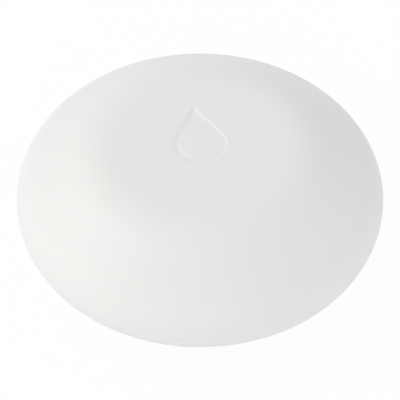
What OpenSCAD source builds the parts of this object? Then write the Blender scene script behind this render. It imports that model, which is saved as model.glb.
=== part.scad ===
// Water leak sensor: a smooth round case that stands on the floor, with three sprung
// probes underneath and a twist-off cover over a battery and a circuit board.
// Millimetres, +Z up, origin on the floor under the centre, tip of the drop mark towards +Y.

/* [Body] */
// Diameter of the case at its widest line
body_d = 72; // [65:0.5:84]
// Height from the floor to the flat top
body_h = 28; // [26.5:0.5:36]
// Thickness of the case walls
wall = 2; // [1.6:0.1:2.4]
// Height of the widest line above the floor
rim_z = 13.7; // [13.2:0.1:15]
// Radius of the rounded rim
rim_r = 8.7; // [8:0.1:9.6]
// Slope of the shoulder from level, in degrees
shoulder_slope = 34.4; // [31:0.1:38]
// Radius that blends the shoulder into the flat top
shoulder_r = 14.5; // [6:0.5:18]
// Slope of the underside from level, in degrees
underside_slope = 42; // [39:0.5:46]
// Radius around the edge of the flat bottom
foot_r = 3; // [2.6:0.1:5]

/* [Drop mark] */
// Radius of the round end of the drop, at the middle of its groove
drop_r = 4.65; // [4.2:0.05:5.2]
// Half angle of the pointed end of the drop
drop_half_angle = 33; // [30:1:37]
// Distance of the drop's round end behind the centre of the top
drop_y = 1.1; // [0.5:0.1:2]
// Width of the groove that draws the drop
groove_w = 1.2; // [0.6:0.05:1.6]
// Depth of the groove that draws the drop
groove_depth = 0.3; // [0.2:0.05:0.8]

/* [Foot pads] */
// Height of the foot pads, which is the height of the flat bottom above the floor
foot_h = 1; // [0.8:0.1:1.6]
// Width of a foot pad across its arc
pad_w = 3.5; // [2:0.1:5]
// Length of a foot pad, in degrees of its circle
pad_arc = 50; // [20:1:60]

/* [Cover lock] */
// Height of the top of the base's flange, where the case parts
seam_z = 7.2; // [6.8:0.1:7.6]
// Gap between the base and the cover at the parting line
seam_gap = 0.2; // [0.15:0.05:0.4]
// Thickness of the cover's lip at the parting line
lip_t = 2.4; // [2:0.1:2.8]
// Depth of the lip, which holds the seal from outside
lip_h = 1.8; // [1.7:0.1:2.2]
// Thickness of the base's collar
collar_t = 1.6; // [1.2:0.1:2]
// Height by which the lock's ribs stand out of the collar
rib_out = 1.5; // [1.3:0.1:2]
// Thickness of the lock's ribs and lugs
lock_t = 1.7; // [1.4:0.1:2]
// Length of a rib on the collar, in degrees
rib_arc = 40; // [30:1:48]
// Length of a lug in the cover, in degrees
lug_arc = 24; // [14:1:28]
// Rise of the cover for one full turn
lock_lead = 48; // [40:1:52]
// Clearance of the lock's sliding faces
lock_clear = 0.3; // [0.25:0.05:0.5]
// Clearance around the seal ring at rest
seal_clear = 0.1; // [0.05:0.01:0.15]

/* [Circuit board] */
// Height of the board's underside above the inner floor
board_lift = 6; // [5.6:0.1:7]
// Thickness of the board
board_t = 1.6; // [1:0.1:2]
// Gap between the board's edge and the collar
board_gap = 0.8; // [0.4:0.1:1.2]
// Radius of a board screw's shank
screw_r = 1; // [0.8:0.05:1.2]
// Radius of a board screw's head
screw_head_r = 1.9; // [1.6:0.1:2.1]
// Distance of the board screws from the board's edge
screw_inset = 2.9; // [2.4:0.1:3.2]
// Clearance of a screw in its hole
screw_clear = 0.15; // [0.05:0.05:0.3]

/* [Battery] */
// Diameter of the battery
battery_d = 15.6; // [14:0.1:16.4]
// Length of the battery with its terminal
battery_l = 27; // [24:0.5:28]
// Distance of the battery's back from the centre of the case
battery_back = 0.9; // [0.6:0.1:1.6]
// Clearance under and around the battery
battery_clear = 0.3; // [0.2:0.05:0.5]
// Thickness of a battery contact's strip
contact_t = 0.4; // [0.3:0.05:0.6]
// Width of a battery contact's strip
contact_w = 5; // [4:0.5:6]

/* [Probes] */
// Radius of a probe's pin
probe_r = 1.7; // [1.3:0.05:2]
// Radial clearance of a pin in its guide
probe_clear = 0.05; // [0.02:0.01:0.08]
// Distance by which a probe springs out
probe_travel = 1.5; // [1:0.1:1.5]
// Distance of the probes from the board's edge
probe_inset = 3.5; // [3.4:0.1:4]
// Radius of the chamber that holds a probe's spring and seal
chamber_r = 2.4; // [2.3:0.05:2.6]
// Wall of a probe's tube
tube_wall = 1; // [0.8:0.1:1.4]
// Thickness of the spring's wire
spring_wire = 0.4; // [0.3:0.05:0.5]
// Turns of a probe's spring
spring_turns = 2.5; // [1.5:0.5:2.5]

/* [Siren] */
// Radius of the siren's case
siren_r = 6.5; // [5.5:0.25:7]
// Height of the siren's case
siren_h = 7.5; // [6:0.5:8]
// Wall of the siren's case
siren_wall = 0.8; // [0.6:0.1:1.2]
// Radius of the sound hole
siren_hole_r = 1.3; // [0.8:0.1:2]

/* [Radio] */
// Width of the radio board
radio_w = 11; // [9:0.5:12]
// Length of the radio board
radio_l = 9; // [8:0.5:10]
// Height of the radio's shield
shield_h = 1.9; // [1.2:0.1:2.2]
// Height of the antenna wire above the board
antenna_lift = 3.6; // [3.4:0.1:5]
// Arc of the antenna wire, in degrees
antenna_arc = 54; // [30:1:58]
// Radius of the antenna wire
antenna_r = 0.4; // [0.3:0.05:0.5]

/* [Switches] */
// Side of the tamper switch
tamper_w = 5; // [4:0.25:5.5]
// Height of the tamper switch
tamper_h = 4; // [3.5:0.25:4.5]
// Radius of the tamper switch's plunger
plunger_r = 1.4; // [1:0.05:1.6]
// Height of the plunger's end above the board while the cover is on
plunger_h = 9.7; // [8:0.1:10]
// Side of the pairing button
button_w = 4.5; // [4:0.25:5]
// Height of the pairing button's case
button_h = 2.2; // [2:0.1:2.6]
// Radius of the pairing button's cap
button_cap_r = 1.5; // [1:0.05:1.7]
// Distance by which the pairing button's cap goes down
button_travel = 0.3; // [0.2:0.05:0.4]
// Radial clearance of the plunger and the cap in their cases
switch_clear = 0.05; // [0.03:0.01:0.08]

/* [Status light] */
// Distance of the status light behind the centre of the case
led_y = 3.1; // [2.6:0.1:3.6]
// Width of the status light
led_w = 3.5; // [2.5:0.1:4]
// Length of the status light
led_l = 2.8; // [2:0.1:3.4]
// Height of the status light
led_h = 1.2; // [0.8:0.1:1.6]
// Radius of the light guide's stem at its foot
stem_r = 1.8; // [1.2:0.1:2.2]
// Thickness of the light guide's drop-shaped head
guide_t = 1.2; // [0.8:0.1:2]
// Gap between the light guide's foot and the status light
guide_gap = 0.4; // [0.2:0.05:0.8]

/* [Hidden] */
$fn = 96;

// Small overlap that joins two shapes of one piece, and the reach of a cut past a face
bite = 0.3;
// Degrees that one straight step of a drawn arc spans, and one step of a climbing bar
arc_step = 5;
bar_step = 2.5;

// Centres and tangent points of the case's outline, as radius and height
body_r = body_d / 2;
rim_c = [body_r - rim_r, rim_z];
high = rim_c + rim_r * [sin(shoulder_slope), cos(shoulder_slope)];
low = rim_c + rim_r * [sin(underside_slope), -cos(underside_slope)];
top_corner_r = high[0] - (body_h - high[1]) / tan(shoulder_slope);
shoulder_c = [top_corner_r - shoulder_r * tan(shoulder_slope / 2), body_h - shoulder_r];
foot_corner_r = low[0] - (low[1] - foot_h) / tan(underside_slope);
foot_c = [foot_corner_r - foot_r * tan(underside_slope / 2), foot_h + foot_r];

// Heights of the inner floor and of the ceiling
floor_z = foot_h + wall;
ceiling_z = body_h - wall;

// Distance of the foot pads from the rounded edge of the bottom
pad_margin = 0.5;

// Radii of the lock, from the lip inwards to the collar
lip_z = seam_z + seam_gap;
land_z = lip_z + lip_h;
mouth_r = outer_r(seam_z) - lip_t;
rib_r = mouth_r - lock_clear - seal_clear;
collar_out = rib_r - rib_out;
collar_in = collar_out - collar_t;
lug_r = collar_out + lock_clear;
lug_root_r = body_r - wall + bite;

// Heights of the lock: the lugs lie under the ribs, and both climb at the same rate
lug_z = land_z + 2 * lock_clear;
rib_z = lug_z + lock_t + lock_clear;
collar_top = rib_z + lock_lead * rib_arc / 360 + lock_t + bite;
lock_angles = [30, 150, 270];
stop_arc = 3;
stop_gap = 1.5;

// Seal ring, between the collar and the lip, on the flange
seal_r = (mouth_r - collar_out) / 2 - seal_clear;
seal_c = [(mouth_r + collar_out) / 2, seam_z + seal_clear / 2 + seal_r];

// Circuit board, its window for the battery and its screws
board_z = floor_z + board_lift;
deck_z = board_z + board_t;
board_r = collar_in - board_gap;
screw_angles = [90, 210, 330];
screw_c = board_r - screw_inset;
screw_floor = 1;
screw_l = board_lift - screw_floor;
screw_head_h = 1.2;
slot_w = 0.5;
pilot_clear = 0.05;
boss_wall = 1.6;
boss_r = screw_r + boss_wall;

// Battery, which lies across the front half of the case
battery_c = [0, -battery_back - battery_d / 2, floor_z + battery_clear + battery_d / 2];
terminal_l = 0.8;
terminal_r = 3;
battery_edge = 0.5;
window_gap = 0.5;
saddle_x = 8;
saddle_t = 2;
saddle_w = 12;
saddle_h = 3.2;
// The contact's strip: a foot on the board, a leg up, a fold and a leg down to the terminal
contact_h = 4.6;
contact_fold = deck_z + contact_h;
contact_gap = 0.05;
contact_foot = 2;
contact_reach = 4;
notch_reach = 3;
notch_x = battery_l / 2 + notch_reach;
// The strip keeps clear of the screw head beside it
contact_y = max(battery_c[1] - contact_w / 2, screw_c * sin(screw_angles[2]) + screw_head_r + 2 * lock_clear);

// Probes, their tubes, flanges, seals and springs
probe_c = board_r - probe_inset;
probe_angles = [270, 150, 30];
tip_round = 0.5;
guide_extra = 0.4;
guide_z = floor_z + guide_extra;
ring_r = (chamber_r - probe_r - 2 * probe_clear) / 2;
ring_z = guide_z + probe_clear + ring_r;
flange_gap = 0.1;
flange_z = ring_z + ring_r + flange_gap + probe_travel;
flange_t = 0.6;
tube_top = flange_z + flange_t + bite;
flange_r = chamber_r - flange_gap;
spring_gap = 0.05;
spring_side = 0.4;
spring_r = chamber_r - spring_side - spring_wire / 2;
spring_z0 = flange_z + flange_t + spring_gap + spring_wire / 2;
spring_z1 = board_z - spring_gap - spring_wire / 2;
spring_sides = 6;
spring_rings = 12;

// Places of the pieces on the board
siren_at = [10.5, 12.6];
siren_ledge_h = 2.5;
disc_t = 0.3;
chip_at = [13.6, 2.4];
chip_w = 5;
chip_h = 1;
radio_at = [-11.5, 7.6];
radio_t = 0.8;
shield_edge = 0.9;
shield_t = 0.3;
capacitor_at = [[19.6, 5.4], [19.9, 0.2]];
capacitor_r = 2.1;
capacitor_h = 4.6;
antenna_inset = 1.6;
antenna_c = board_r - antenna_inset;
antenna_start = 132;
antenna_post_r = 0.75;
lens_h = 0.35;
lens_edge = 0.3;
button_back = 2.75;
button_at = [-0.6, screw_c - screw_head_r - button_back - button_w / 2];
well_floor = 0.6;
well_gap = 0.1;
tamper_c = 20;
tamper_angle = 115;
tamper_at = tamper_c * [cos(tamper_angle), sin(tamper_angle)];

// The rib under the ceiling that holds the tamper plunger down while the cover is on
press_gap = 0.1;
press_z = deck_z + plunger_h + press_gap;
press_w = 1.6;

// Angle at which the drop's straight sides cross its round end
drop_dip = 3;

// Light guide under the drop mark
guide_foot_z = deck_z + led_h + guide_gap;
guide_edge = 0.4;
guide_head_r = drop_r - guide_edge;
stem_flare = 1.3;
fence_t = 0.8;

// Radius of the case's outside at a height under the widest line
function outer_r(z) = z < low[1]
    ? low[0] - (low[1] - z) / tan(underside_slope)
    : rim_c[0] + sqrt(pow(rim_r, 2) - pow(z - rim_z, 2));

// Points of an arc about c, from angle a to angle b
function arc(c, r, a, b) =
    let (n = ceil(abs(b - a) / arc_step))
    [for (i = [0 : n]) c + r * [cos(a + (b - a) * i / n), sin(a + (b - a) * i / n)]];

// The case's outline, moved inwards by inset
module outline(inset) {
    polygon(concat(
        [[0, body_h - inset], [0, foot_h + inset]],
        arc(foot_c, foot_r - inset, -90, underside_slope - 90),
        arc(rim_c, rim_r - inset, underside_slope - 90, 0),
        arc(rim_c, rim_r - inset, 0, 90 - shoulder_slope),
        arc(shoulder_c, shoulder_r - inset, 90 - shoulder_slope, 90)
    ));
}

// A drop: a round end of radius r with its pointed end towards +Y. Its straight sides lie
// just inside the tangents, so that they cross the round end and don't only touch it.
module drop(r) {
    tip = r / sin(drop_half_angle);
    side = r * cos(drop_dip) * [cos(drop_half_angle), sin(drop_half_angle)];
    circle(r);
    polygon([[0, 0], side, [0, tip], [-side[0], side[1]]]);
}

// Faces of a bar swept through count rings of sides points each
function sweep_faces(count, sides) = concat(
    [[for (j = [sides - 1 : -1 : 0]) j]],
    [for (i = [0 : count - 2], j = [0 : sides - 1])
        let (a = i * sides + j, b = i * sides + (j + 1) % sides)
        each [[a, b, b + sides], [a, b + sides, a + sides]]],
    [[for (j = [0 : sides - 1]) (count - 1) * sides + j]]
);

// A bar of the lock that climbs round the axis, from radius r0 to r1 and from height z
module climbing_bar(r0, r1, z, start, span) {
    count = ceil(span / bar_step) + 1;
    section = [[r0, 0], [r1, 0], [r1, lock_t], [r0, lock_t]];
    points = [
        for (i = [0 : count - 1])
        let (turn = span * i / (count - 1))
        for (p = section)
        [p[0] * cos(start + turn), p[0] * sin(start + turn), z + p[1] + lock_lead * turn / 360]
    ];
    polyhedron(points, sweep_faces(count, len(section)), convexity = 4);
}

// Places its children at a radius and an angle
module at_angle(angle, radius) {
    translate([radius * cos(angle), radius * sin(angle), 0]) children();
}

// The shell above the parting line, with its lugs, its pressing rib and the drop mark
module top_cover() {
    color("white") difference() {
        union() {
            rotate_extrude() {
                difference() {
                    intersection() {
                        outline(0);
                        translate([0, lip_z]) square([body_d, body_h]);
                    }
                    intersection() {
                        outline(wall);
                        translate([0, land_z]) square([body_d, body_h]);
                    }
                    translate([0, lip_z - bite]) square([mouth_r, land_z - lip_z + 2 * bite]);
                }
                intersection() {
                    outline(wall / 2);
                    translate([tamper_c - press_w / 2, press_z]) square([press_w, body_h]);
                }
            }
            for (a = lock_angles) climbing_bar(lug_r, lug_root_r, lug_z, a, lug_arc);
            translate([0, drop_y, ceiling_z - guide_t]) linear_extrude(guide_t + bite) difference() {
                drop(guide_head_r + lock_clear + fence_t);
                drop(guide_head_r + lock_clear);
            }
        }
        translate([0, drop_y, body_h - groove_depth]) linear_extrude(groove_depth + bite) difference() {
            drop(drop_r + groove_w / 2);
            drop(drop_r - groove_w / 2);
        }
    }
}

// The bowl below the parting line, with its collar, foot pads, bosses and probe tubes
module bottom_housing() {
    color("whitesmoke") difference() {
        union() {
            rotate_extrude() {
                difference() {
                    intersection() {
                        outline(0);
                        square([body_d, seam_z]);
                    }
                    intersection() {
                        outline(wall);
                        square([collar_in, body_h]);
                    }
                }
                translate([collar_in, seam_z - bite]) square([collar_t, collar_top - seam_z + bite]);
            }
            for (a = lock_angles) {
                climbing_bar(collar_out - bite, rib_r, rib_z, a, rib_arc);
                rotate(a - stop_gap - stop_arc) rotate_extrude(angle = stop_arc)
                    translate([collar_out - bite, lug_z]) square([rib_out + bite, rib_z - lug_z + lock_t]);
            }
            for (a = screw_angles) {
                rotate(a - pad_arc / 2) rotate_extrude(angle = pad_arc)
                    translate([foot_c[0] - pad_margin - pad_w, 0]) square([pad_w, foot_h + bite]);
                at_angle(a, screw_c) translate([0, 0, floor_z - bite])
                    cylinder(r = boss_r, h = board_lift + bite);
            }
            for (a = probe_angles) at_angle(a, probe_c) translate([0, 0, floor_z - bite])
                cylinder(r = chamber_r + tube_wall, h = tube_top - floor_z + bite);
            battery_saddles();
        }
        for (a = screw_angles) at_angle(a, screw_c) translate([0, 0, board_z - screw_l - bite])
            cylinder(r = screw_r + pilot_clear, h = screw_l + 2 * bite);
        for (a = probe_angles) at_angle(a, probe_c) {
            translate([0, 0, -bite]) cylinder(r = probe_r + probe_clear, h = guide_z + 2 * bite);
            translate([0, 0, guide_z]) cylinder(r = chamber_r, h = board_lift);
        }
    }
}

// Two ribs on the floor with a round top, which the battery lies on
module battery_saddles() {
    difference() {
        for (x = [-saddle_x, saddle_x])
            translate([x - saddle_t / 2, battery_c[1] - saddle_w / 2, floor_z - bite])
            cube([saddle_t, saddle_w, saddle_h + bite]);
        translate(battery_c) rotate([0, 90, 0])
            cylinder(r = battery_d / 2 + battery_clear, h = battery_l, center = true);
    }
}

// The rubber ring that keeps water out between the base and the cover
module seal_ring() {
    color("dimgray") rotate_extrude() translate(seal_c) circle(seal_r);
}

// The clear piece that carries the status light up to the drop mark
module light_guide() {
    color("aliceblue") {
        translate([0, drop_y, ceiling_z - guide_t]) linear_extrude(guide_t) drop(guide_head_r);
        translate([0, led_y, guide_foot_z])
            cylinder(r1 = stem_r, r2 = stem_r * stem_flare, h = ceiling_z - guide_t / 2 - guide_foot_z);
    }
}

// The round board, open at the front for the battery
module circuit_board() {
    window_x = battery_l + 2 * window_gap;
    window_y = battery_d + 2 * window_gap;
    notch_y = contact_w + 2 * window_gap;
    color("seagreen") difference() {
        translate([0, 0, board_z]) cylinder(r = board_r, h = board_t);
        translate([-window_x / 2, battery_c[1] - window_y / 2, board_z - bite])
            cube([window_x, window_y, board_t + 2 * bite]);
        translate([-notch_x, contact_y - window_gap, board_z - bite])
            cube([2 * notch_x, notch_y, board_t + 2 * bite]);
        for (a = screw_angles) at_angle(a, screw_c) translate([0, 0, board_z - bite])
            cylinder(r = screw_r + screw_clear, h = board_t + 2 * bite);
    }
}

// Three slotted screws that hold the board on its bosses
module board_screws() {
    color("silver") for (a = screw_angles) at_angle(a, screw_c) difference() {
        union() {
            translate([0, 0, deck_z]) cylinder(r = screw_head_r, h = screw_head_h);
            translate([0, 0, board_z - screw_l]) cylinder(r = screw_r, h = screw_l + board_t + bite);
        }
        translate([0, 0, deck_z + screw_head_h]) rotate(a)
            cube([2 * (screw_head_r + bite), slot_w, screw_head_h], center = true);
    }
}

// A cylindrical lithium cell, with its positive terminal towards +X
module battery() {
    r = battery_d / 2;
    can = battery_l - terminal_l;
    color("steelblue") translate(battery_c) rotate([0, 90, 0]) translate([0, 0, -battery_l / 2])
        rotate_extrude() polygon([
            [0, 0], [r - battery_edge, 0], [r, battery_edge],
            [r, can - battery_edge], [r - battery_edge, can],
            [terminal_r, can], [terminal_r, battery_l], [0, battery_l]
        ]);
}

// A folded strip of spring metal that presses on the battery's end, for the +X end
module contact_strip() {
    inner = battery_l / 2 + contact_gap;
    outer = inner + contact_reach;
    low_z = battery_c[2] - contact_w / 2;
    color("gold") translate([0, contact_y + contact_w, 0]) rotate([90, 0, 0])
        linear_extrude(contact_w) polygon([
            [inner, low_z], [inner + contact_t, low_z],
            [inner + contact_t, contact_fold - contact_t], [outer - contact_t, contact_fold - contact_t],
            [outer - contact_t, deck_z], [outer + contact_foot, deck_z],
            [outer + contact_foot, deck_z + contact_t], [outer, deck_z + contact_t],
            [outer, contact_fold], [inner, contact_fold]
        ]);
}

// The contact at the battery's terminal
module battery_contact_positive() {
    contact_strip();
}

// The contact at the battery's flat end
module battery_contact_negative() {
    mirror([1, 0, 0]) contact_strip();
}

// The siren's round case, with a ledge for its disc and a sound hole
module siren_case() {
    inner = siren_r - siren_wall;
    color("dimgray") translate([siren_at[0], siren_at[1], deck_z]) rotate_extrude() polygon([
        [inner - siren_wall, 0], [siren_r, 0], [siren_r, siren_h], [siren_hole_r, siren_h],
        [siren_hole_r, siren_h - siren_wall], [inner, siren_h - siren_wall],
        [inner, siren_ledge_h], [inner - siren_wall, siren_ledge_h]
    ]);
}

// The thin brass disc that sounds
module siren_disc() {
    color("goldenrod") translate([siren_at[0], siren_at[1], deck_z + siren_ledge_h])
        cylinder(r = siren_r - siren_wall - switch_clear, h = disc_t);
}

// The status light under the light guide
module status_led() {
    color("ivory") translate([0, led_y, deck_z]) {
        translate([-led_w / 2, -led_l / 2, 0]) cube([led_w, led_l, led_h - lens_h]);
        cylinder(r = led_l / 2 - lens_edge, h = led_h);
    }
}

// The chip that runs the sensor
module controller_chip() {
    color("black") translate([chip_at[0] - chip_w / 2, chip_at[1] - chip_w / 2, deck_z])
        cube([chip_w, chip_w, chip_h]);
}

// Two round capacitors
module board_capacitors() {
    color("slategray") for (p = capacitor_at) translate([p[0], p[1], deck_z])
        cylinder(r = capacitor_r, h = capacitor_h);
}

// The small board that holds the radio
module radio_board() {
    color("darkgreen") translate([radio_at[0] - radio_w / 2, radio_at[1] - radio_l / 2, deck_z])
        cube([radio_w, radio_l, radio_t]);
}

// The metal can over the radio's circuit, open below
module radio_shield() {
    w = radio_w - 2 * shield_edge;
    l = radio_l - 2 * shield_edge;
    color("lightgray") translate([radio_at[0], radio_at[1], deck_z + radio_t]) difference() {
        translate([-w / 2, -l / 2, 0]) cube([w, l, shield_h]);
        translate([shield_t - w / 2, shield_t - l / 2, -shield_t])
            cube([w - 2 * shield_t, l - 2 * shield_t, shield_h]);
    }
}

// The radio's wire antenna, an arc that stands off the board on a post
module antenna_wire() {
    color("peru") {
        rotate(antenna_start) rotate_extrude(angle = antenna_arc)
            translate([antenna_c, deck_z + antenna_lift]) circle(antenna_r);
        at_angle(antenna_start + antenna_arc, antenna_c) translate([0, 0, deck_z])
            cylinder(r = antenna_post_r, h = antenna_lift + antenna_r + bite);
    }
}

// A square switch case with a round well for its moving piece
module switch_case(at, turn, w, h, well_r) {
    translate([at[0], at[1], deck_z]) rotate(turn) difference() {
        translate([-w / 2, -w / 2, 0]) cube([w, w, h]);
        translate([0, 0, well_floor]) cylinder(r = well_r, h = h);
    }
}

// The switch that tells when the cover is opened
module tamper_switch() {
    color("black") switch_case(tamper_at, tamper_angle, tamper_w, tamper_h, plunger_r + switch_clear);
}

// The switch's plunger, held down by the cover
module tamper_plunger() {
    color("crimson") translate([tamper_at[0], tamper_at[1], deck_z + well_floor + well_gap])
        cylinder(r = plunger_r, h = plunger_h - well_floor - well_gap);
}

// The case of the button that pairs the sensor
module pair_button_case() {
    color("black") switch_case(button_at, 0, button_w, button_h, button_cap_r + switch_clear);
}

// The pairing button's cap
module pair_button_cap() {
    color("tan") translate([button_at[0], button_at[1], deck_z + well_floor + well_gap + button_travel])
        cylinder(r = button_cap_r, h = button_h);
}

// A gold-plated pin with a round tip and a flange that its spring presses on
module probe(angle) {
    color("gold") at_angle(angle, probe_c) rotate_extrude() polygon(concat(
        [[0, flange_z + flange_t], [0, 0]],
        arc([probe_r - tip_round, tip_round], tip_round, -90, 0),
        [[probe_r, flange_z], [flange_r, flange_z], [flange_r, flange_z + flange_t]]
    ));
}

// The coil between a probe's flange and the pad under the board
module probe_spring(angle) {
    count = spring_turns * spring_rings + 1;
    points = [
        for (i = [0 : count - 1])
        let (turn = 360 * i / spring_rings)
        for (j = [0 : spring_sides - 1])
        let (side = 360 * j / spring_sides)
        let (r = spring_r + spring_wire / 2 * cos(side))
        [
            r * cos(turn),
            r * sin(turn),
            spring_z0 + (spring_z1 - spring_z0) * i / (count - 1) + spring_wire / 2 * sin(side)
        ]
    ];
    color("silver") at_angle(angle, probe_c)
        polyhedron(points, sweep_faces(count, spring_sides), convexity = 4);
}

// The pin under the front of the case
module probe_front() {
    probe(probe_angles[0]);
}

// The pin under the left side of the case
module probe_left() {
    probe(probe_angles[1]);
}

// The pin under the right side of the case
module probe_right() {
    probe(probe_angles[2]);
}

// The front pin's spring
module probe_spring_front() {
    probe_spring(probe_angles[0]);
}

// The left pin's spring
module probe_spring_left() {
    probe_spring(probe_angles[1]);
}

// The right pin's spring
module probe_spring_right() {
    probe_spring(probe_angles[2]);
}

// Three rubber rings that keep water out around the pins
module probe_seals() {
    color("dimgray") for (a = probe_angles) at_angle(a, probe_c) rotate_extrude()
        translate([probe_r + probe_clear + ring_r, ring_z]) circle(ring_r);
}

top_cover();
bottom_housing();
seal_ring();
light_guide();
circuit_board();
board_screws();
battery();
battery_contact_positive();
battery_contact_negative();
siren_case();
siren_disc();
status_led();
controller_chip();
board_capacitors();
radio_board();
radio_shield();
antenna_wire();
tamper_switch();
tamper_plunger();
pair_button_case();
pair_button_cap();
probe_front();
probe_left();
probe_right();
probe_spring_front();
probe_spring_left();
probe_spring_right();
probe_seals();
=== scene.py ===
import math
from collections import Counter
import bpy
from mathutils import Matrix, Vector


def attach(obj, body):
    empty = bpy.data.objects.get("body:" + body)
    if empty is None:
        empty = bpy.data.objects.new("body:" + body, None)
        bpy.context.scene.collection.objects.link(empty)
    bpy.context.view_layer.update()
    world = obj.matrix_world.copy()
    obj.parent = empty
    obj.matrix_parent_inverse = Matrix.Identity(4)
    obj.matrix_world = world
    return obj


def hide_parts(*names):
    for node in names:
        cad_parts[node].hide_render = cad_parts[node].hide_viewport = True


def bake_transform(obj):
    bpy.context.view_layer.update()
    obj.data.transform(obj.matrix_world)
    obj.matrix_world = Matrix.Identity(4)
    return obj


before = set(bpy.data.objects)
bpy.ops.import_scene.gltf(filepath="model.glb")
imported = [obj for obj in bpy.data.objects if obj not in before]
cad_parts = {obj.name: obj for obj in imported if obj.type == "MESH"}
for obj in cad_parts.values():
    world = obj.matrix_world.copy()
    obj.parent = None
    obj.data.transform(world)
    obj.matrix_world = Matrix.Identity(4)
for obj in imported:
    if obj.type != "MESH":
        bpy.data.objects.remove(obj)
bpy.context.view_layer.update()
mm = 0.001
tiny = {"weld": 0.002, "line": 0.0005, "level": 0.002, "plumb": 0.0001}   # millimetres that count as nothing
facing = 0.99                                  # a flat top's or bottom's normal is at least this far along Z
print("frame loaded:", len(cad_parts), "nodes")


# outlines, in millimetres

def arcPoints(centre, radius, start, end, step):
    count = max(1, math.ceil(abs(end - start) / step))
    turns = [math.radians(start + (end - start) * k / count) for k in range(count + 1)]
    return [(centre[0] + radius * math.cos(t), centre[1] + radius * math.sin(t)) for t in turns]


def softLine(corners, closed=False, step=18.0):
    # a corner is (a, b) or (a, b, radius), and a radius becomes a short arc
    if not any(sum(corner[2:]) for corner in corners):
        return [corner[:2] for corner in corners]
    line = []
    count = len(corners)
    for k, corner in enumerate(corners):
        here = Vector(corner[:2])
        radius = sum(corner[2:])
        if not radius or (not closed and k in (0, count - 1)):
            line.append(tuple(here))
            continue
        back = (Vector(corners[k - 1][:2]) - here).normalized()
        ahead = (Vector(corners[(k + 1) % count][:2]) - here).normalized()
        half = back.angle(ahead) / 2
        reach = radius / math.tan(half)
        middle = here + (back + ahead).normalized() * radius / math.sin(half)
        first = here + back * reach - middle
        last = here + ahead * reach - middle
        start = math.degrees(math.atan2(first.y, first.x))
        sweep = (math.degrees(math.atan2(last.y, last.x)) - start + 180) % 360 - 180
        line += arcPoints(middle, radius, start, start + sweep, step)
    return line


def rowOf(count, pitch):
    return [(k - (count - 1) / 2) * pitch for k in range(count)]


# modelling

def leaveEdit():
    bpy.ops.object.mode_set(mode="OBJECT")


def focus(piece=None):
    if bpy.context.object and bpy.context.object.mode != "OBJECT":
        leaveEdit()
    bpy.ops.object.select_all(action="DESELECT")
    if piece:
        piece.select_set(True)
        bpy.context.view_layer.objects.active = piece


def editAll(piece, kind="VERT"):
    focus(piece)
    bpy.ops.object.mode_set(mode="EDIT")
    bpy.ops.mesh.select_mode(type=kind)
    bpy.ops.mesh.select_all(action="SELECT")


def named(name):
    piece = bpy.context.object
    piece.name = piece.data.name = name
    return piece


def extrude(move):
    bpy.ops.mesh.extrude_region_move(TRANSFORM_OT_translate={"value": move})


def bevel(width, segments):
    bpy.ops.mesh.bevel(offset=width * mm, segments=segments, affect="EDGES")


def closeUp(piece, fill=False):
    editAll(piece)
    if fill:
        bpy.ops.mesh.fill_holes(sides=0)
    bpy.ops.mesh.remove_doubles(threshold=tiny["weld"] * mm)
    bpy.ops.mesh.normals_make_consistent(inside=False)
    leaveEdit()


def modified(piece, kind, **settings):
    # one modifier, applied at once
    focus(piece)
    made = piece.modifiers.new(kind, kind)
    for key, value in settings.items():
        setattr(made, key, value)
    bpy.ops.object.modifier_apply(modifier=made.name)


def lay(piece, turn=0, move=(0, 0, 0), axis=2):
    focus(piece)
    piece.rotation_euler[axis] = math.radians(turn)
    piece.location = Vector(move) * mm
    bpy.ops.object.transform_apply(location=True, rotation=True, scale=True)


def drawLine(name, points, closed=False):
    # one vertex of a plane, extruded from point to point
    focus()
    bpy.ops.mesh.primitive_plane_add(size=mm)
    piece = named(name)
    editAll(piece)
    bpy.ops.mesh.merge(type="CENTER")
    stops = [Vector(point) * mm for point in [*points, *points[:closed]]]
    bpy.ops.transform.translate(value=stops[0])
    for last, here in zip(stops, stops[1:]):
        extrude(here - last)
    bpy.ops.mesh.select_all(action="SELECT")
    if closed:
        bpy.ops.mesh.remove_doubles(threshold=tiny["line"] * mm)
    leaveEdit()
    return piece


def turned(name, corners, at=(0, 0), steps=48):
    # (radius, height) corners spun round a vertical line
    piece = drawLine(name, [(at[0] + r, at[1], h) for r, h in softLine(corners)])
    editAll(piece)
    bpy.ops.mesh.spin(steps=steps, angle=2 * math.pi, center=(at[0] * mm, at[1] * mm, 0), axis=(0, 0, 1))
    closeUp(piece)
    return piece


def peg(name, radius, low, high, edge=0, at=(0, 0), steps=48, foot=0):
    # an upright round bar, with its top edge or foot rounded
    return turned(name, [(0, low), (radius, low, foot), (radius, high, edge), (0, high)], at, steps)


def ringBar(name, corners, start, span, rise=0.0, steps=12):
    # a closed (radius, height) section carried round the axis, climbing by rise
    piece = drawLine(name, [(r, 0, h) for r, h in softLine(corners, closed=True)], closed=True)
    climb = rise * mm
    modified(piece, "SCREW", angle=math.radians(span), screw_offset=climb, steps=steps, render_steps=steps)
    lay(piece, start)
    closeUp(piece, fill=True)
    return piece


def boxPiece(name, foot, size, edge=0.0, segments=2):
    # a box that stands on the middle of its foot
    x, y, low = foot
    focus()
    bpy.ops.mesh.primitive_cube_add(size=mm)
    piece = named(name)
    editAll(piece)
    bpy.ops.transform.resize(value=size)
    bpy.ops.transform.translate(value=Vector((x, y, low + size[2] / 2)) * mm)
    if edge:
        bevel(edge, segments)
    leaveEdit()
    return piece


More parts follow.
